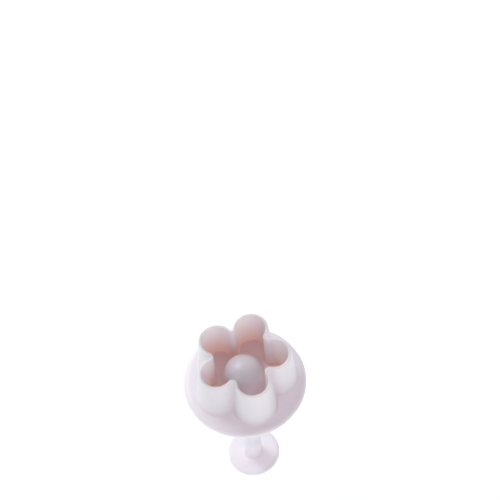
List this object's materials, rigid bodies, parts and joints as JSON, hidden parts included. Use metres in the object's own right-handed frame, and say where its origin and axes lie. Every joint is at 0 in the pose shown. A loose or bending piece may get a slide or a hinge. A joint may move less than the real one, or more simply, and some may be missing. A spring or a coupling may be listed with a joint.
{
  "type": "plunger cutter",
  "caption": "Sprung plunger cutter for rolled paste: a blossom-shaped cutting wall on a round flange, with a domed stamp that a thumb knob pushes forward.",
  "frame": {"origin": "on the axis, at the flat underside of the thumb knob, on which the cutter stands", "axes": "+Z along the axis towards the cutting edge, and -Y through the middle of one petal"},
  "size_m": [0.038, 0.038, 0.071],
  "materials": {
    "body_plastic": "satin",
    "stamp_plastic": "satin",
    "knob_plastic": "satin",
    "spring_steel": "bright drawn"
  },
  "bodies": {
    "cutter": {"cutter_body": "body_plastic"},
    "plunger": {"stamp": "stamp_plastic", "knob": "knob_plastic", "spring": "spring_steel"}
  },
  "joints": [
    {"name": "plunger_slide", "type": "slide", "parent": "cutter", "child": "plunger", "axis": [0, 0, 1], "range_m": [0, 0.018], "stiffness_N_per_m": 430, "springref_m": -0.005, "deforming": ["spring"]}
  ]
}
